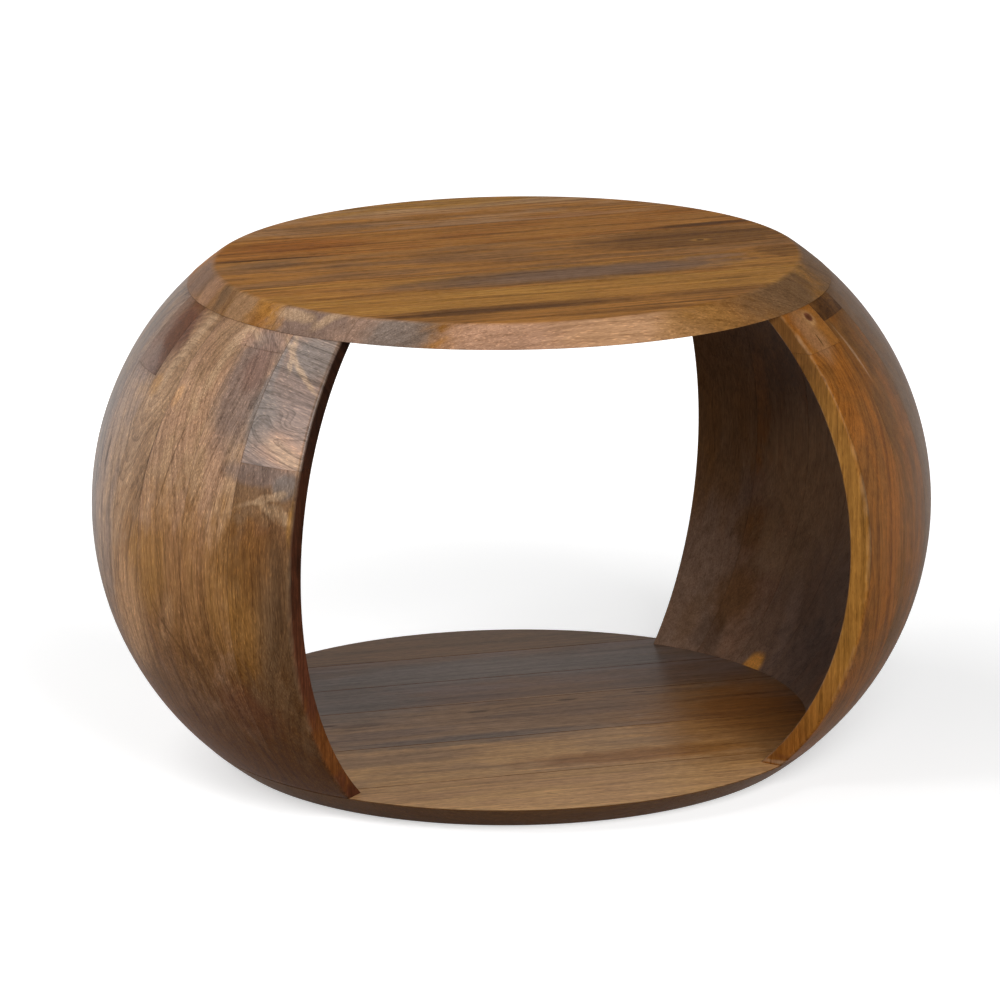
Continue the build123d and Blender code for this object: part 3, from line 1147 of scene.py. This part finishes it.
def make_board(board, cuts, stains, turn):
    """Make, finish and place every plank of one board."""
    sizes = bpy.context.scene.drum_table_sizes
    turned = math.radians(turn)
    face = HEIGHT if board == "top" else FOOT
    for node, timber in zip(nodes_named(f"{board}_plank"), cuts, strict=True):
        piece = plank(node, turned, board, sizes)
        near, far = plank_span(node, turned)
        middle = (max(near, -RIM) + min(far, RIM)) / 2
        log = Euler((0, 0, -turned)), Vector((0, -middle, -face)) / MM
        corners = (-RIM / MM, near / MM), (RIM / MM, far / MM)
        near_by = [s for s in stains if reaches(s, 1.0, *corners)]
        material = mango_wood(node, timber, near_by, log, turned)
        finish_piece(piece, node, material)


def make_wall(side, cuts, stains):
    """Make, finish and place every stave and block of one wall."""
    sizes = bpy.context.scene.drum_table_sizes
    nodes = nodes_named(side)
    spans = {node: stave_span(node, side) for node in nodes}
    lowest = min(span[0] for span in spans.values())
    highest = max(span[1] for span in spans.values())
    belly = float(at_level(OUTER_ARC, BELLY_LEVEL))
    for node in nodes:
        low, high, bottom, top = spans[node]
        at_low, at_high = low < lowest + SAME_SIDE, high > highest - SAME_SIDE
        cut = "low" if at_low else "high" if at_high else "none"
        piece = stave(node, side, sizes, cut)
        turn = upright_grid(math.radians((low + high) / 2))
        log = turn, Vector((-BELLY_LEVEL, 0, belly)) / MM
        corners = (low * MM_PER_DEGREE, bottom / MM), (high * MM_PER_DEGREE, top / MM)
        near_by = [s for s in stains if reaches(s, MM_PER_DEGREE, *corners)]
        material = mango_wood(node, cuts.get(node) or typical(node), near_by, log, None)
        finish_piece(piece, node, material)


class DRUM_TABLE_OT_top_board(bpy.types.Operator):
    """Make the seven planks of the table top"""

    bl_idname = "drum_table.top_board"
    bl_label = "Table top"

    def execute(self, context):
        make_board("top", TOP, TOP_STAINS, TOP_TURN)
        return {"FINISHED"}


class DRUM_TABLE_OT_foot_board(bpy.types.Operator):
    """Make the six planks of the foot board"""

    bl_idname = "drum_table.foot_board"
    bl_label = "Foot board"

    def execute(self, context):
        make_board("base", BASE, BASE_STAINS, BASE_TURN)
        return {"FINISHED"}


class DRUM_TABLE_OT_left_wall(bpy.types.Operator):
    """Make the staves and blocks of the left wall"""

    bl_idname = "drum_table.left_wall"
    bl_label = "Left wall"

    def execute(self, context):
        make_wall("left", LEFT, LEFT_STAINS)
        return {"FINISHED"}


class DRUM_TABLE_OT_right_wall(bpy.types.Operator):
    """Make the staves and blocks of the right wall"""

    bl_idname = "drum_table.right_wall"
    bl_label = "Right wall"

    def execute(self, context):
        make_wall("right", RIGHT, RIGHT_STAINS)
        return {"FINISHED"}


def bearing(azimuth, elevation):
    """The direction to an azimuth and elevation, given in degrees, one metre long."""
    turned, raised = math.radians(azimuth), math.radians(elevation)
    level = math.cos(raised)
    return Vector((math.cos(turned) * level, math.sin(turned) * level, math.sin(raised)))


def soft_lamp(name, azimuth, elevation, watts):
    """A square soft lamp that looks at the drum's middle from an azimuth and elevation."""
    lamp = bpy.data.lights.new(name, "AREA")
    lamp.shape = "SQUARE"
    lamp.size = LAMP_SIZE
    lamp.energy = watts
    away = bearing(azimuth, elevation)
    holder = bpy.data.objects.new(name, lamp)
    holder.location = Vector((0, 0, BELLY_LEVEL)) + away * LAMP_DISTANCE
    holder.rotation_mode = "QUATERNION"
    holder.rotation_quaternion = away.to_track_quat("Z", "Y")
    bpy.context.scene.collection.objects.link(holder)


def pale_floor():
    """A pale round floor that turns up into a low backdrop.

    Both show white, with the table's soft shadow on the floor, and give the table less
    light than white would. The floor glows more and more towards the backdrop, because
    the lamps don't reach that far.
    """
    turn = np.linspace(0, 2 * math.pi, BACKDROP_CORNERS, endpoint=False)
    radius, height = np.array(BACKDROP).T[:, :, None]
    wall = np.stack([radius * np.cos(turn), radius * np.sin(turn), height + 0 * turn], axis=-1)
    index = np.arange(len(BACKDROP) * len(turn)).reshape(len(BACKDROP), len(turn))
    faces = [index[0].tolist()] + ring_faces(index[::-1])
    mesh = bpy.data.meshes.new("floor")
    mesh.from_pydata(wall.reshape(-1, 3).tolist(), [], faces)
    floor = bpy.data.objects.new("floor", mesh)
    bpy.context.scene.collection.objects.link(floor)
    material = bpy.data.materials.new("pale_floor")
    tree = empty_tree(material)
    path = add(tree, "LightPath", {}).node
    shown = path.outputs["Is Camera Ray"]
    for ray in ("Is Glossy Ray", "Is Transmission Ray"):
        shown = add(tree, "Math", {0: shown, 1: path.outputs[ray]}, operation="MAXIMUM")
    own = add(tree, "TexCoord", {}, 3)
    away = add(tree, "VectorMath", {0: own}, 1, operation="LENGTH")
    glow = {0: away, 1: GLOW_NEAR, 2: GLOW_FAR, 3: GLOW_LEAST, 4: 1.0}
    glow = add(tree, "MapRange", glow, **EASED)
    matt = add(tree, "BsdfDiffuse", {"Color": FLOOR_LIGHTS_AS})
    pale = add(tree, "BsdfDiffuse", {"Color": FLOOR_LOOKS})
    glow = add(tree, "Emission", {"Color": (1, 1, 1, 1), "Strength": glow})
    white = add(tree, "AddShader", {0: pale, 1: glow})
    either = add(tree, "MixShader", {0: shown, 1: matt, 2: white})
    add(tree, "OutputMaterial", {0: either})
    mesh.materials.append(material)


def plain_room(strength):
    """A plain pale room that gives a little even light from all round."""
    world = bpy.data.worlds.new("plain_room")
    bpy.context.scene.world = world
    tree = empty_tree(world)
    even = add(tree, "Background", {"Color": (1, 1, 1, 1), "Strength": strength})
    add(tree, "OutputWorld", {0: even})


def studio_camera(distance):
    """A long lens in front, a little to the left and above, levelled on the table."""
    away = bearing(CAMERA_AZIMUTH, CAMERA_RAISED)
    ahead = bearing(CAMERA_AZIMUTH + 180 - AIM_ASIDE, AIM_UP - CAMERA_RAISED)
    right = ahead.cross(Vector((0, 0, 1))).normalized()
    up = right.cross(ahead)
    roll = math.radians(CAMERA_ROLL)
    right, up = (
        right * math.cos(roll) + up * math.sin(roll),
        up * math.cos(roll) - right * math.sin(roll),
    )
    stand = Matrix((right, up, -ahead)).transposed().to_4x4()
    stand.translation = Vector((0, 0, BELLY_LEVEL)) + away * distance
    data = bpy.data.cameras.new("studio_camera")
    data.sensor_width = SENSOR
    data.lens = LENS
    data.clip_end = 50.0
    camera = bpy.data.objects.new("studio_camera", data)
    camera.matrix_world = stand
    bpy.context.scene.collection.objects.link(camera)
    bpy.context.scene.camera = camera


class DRUM_TABLE_OT_stage(bpy.types.Operator):
    """Set the floor, the lamps, the room and the camera"""

    bl_idname = "drum_table.stage"
    bl_label = "Stage"

    def execute(self, context):
        stage = context.scene.drum_table_stage
        context.scene.view_settings.view_transform = "Standard"
        plain_room(stage.room)
        pale_floor()
        for name, (azimuth, elevation) in LAMPS.items():
            soft_lamp(f"{name}_lamp", azimuth, elevation, getattr(stage, name))
        studio_camera(stage.distance)
        return {"FINISHED"}


class DRUM_TABLE_PT_panel(bpy.types.Panel):
    """Lists the table's pieces and its stage"""

    bl_idname = "DRUM_TABLE_PT_panel"
    bl_label = "Drum table"
    bl_space_type = "VIEW_3D"
    bl_region_type = "UI"
    bl_category = "Drum table"

    def draw(self, context):
        column = self.layout.column()
        for group in ("drum_table_sizes", "drum_table_colours", "drum_table_stage"):
            settings = getattr(context.scene, group)
            for name in type(settings).__annotations__:
                column.prop(settings, name)
            column.separator()
        for operator in OPERATORS:
            column.operator(operator.bl_idname)


GROUPS = {
    "drum_table_sizes": DrumTableSizes,
    "drum_table_colours": DrumTableColours,
    "drum_table_stage": DrumTableStage,
}
OPERATORS = (
    DRUM_TABLE_OT_top_board,
    DRUM_TABLE_OT_foot_board,
    DRUM_TABLE_OT_left_wall,
    DRUM_TABLE_OT_right_wall,
    DRUM_TABLE_OT_stage,
)


def register():
    """Register the settings, the operators and the panel."""
    for group in GROUPS.values():
        bpy.utils.register_class(group)
    for name, group in GROUPS.items():
        setattr(bpy.types.Scene, name, PointerProperty(type=group))
    for operator in OPERATORS:
        bpy.utils.register_class(operator)
    bpy.utils.register_class(DRUM_TABLE_PT_panel)


def unregister():
    """Take everything out again, in the opposite order."""
    bpy.utils.unregister_class(DRUM_TABLE_PT_panel)
    for operator in reversed(OPERATORS):
        bpy.utils.unregister_class(operator)
    for name, group in GROUPS.items():
        delattr(bpy.types.Scene, name)
        bpy.utils.unregister_class(group)


def main():
    """Build the whole table."""
    register()
    bpy.ops.drum_table.top_board()
    bpy.ops.drum_table.foot_board()
    bpy.ops.drum_table.left_wall()
    bpy.ops.drum_table.right_wall()
    bpy.ops.drum_table.stage()


if __name__ == "__main__":
    main()
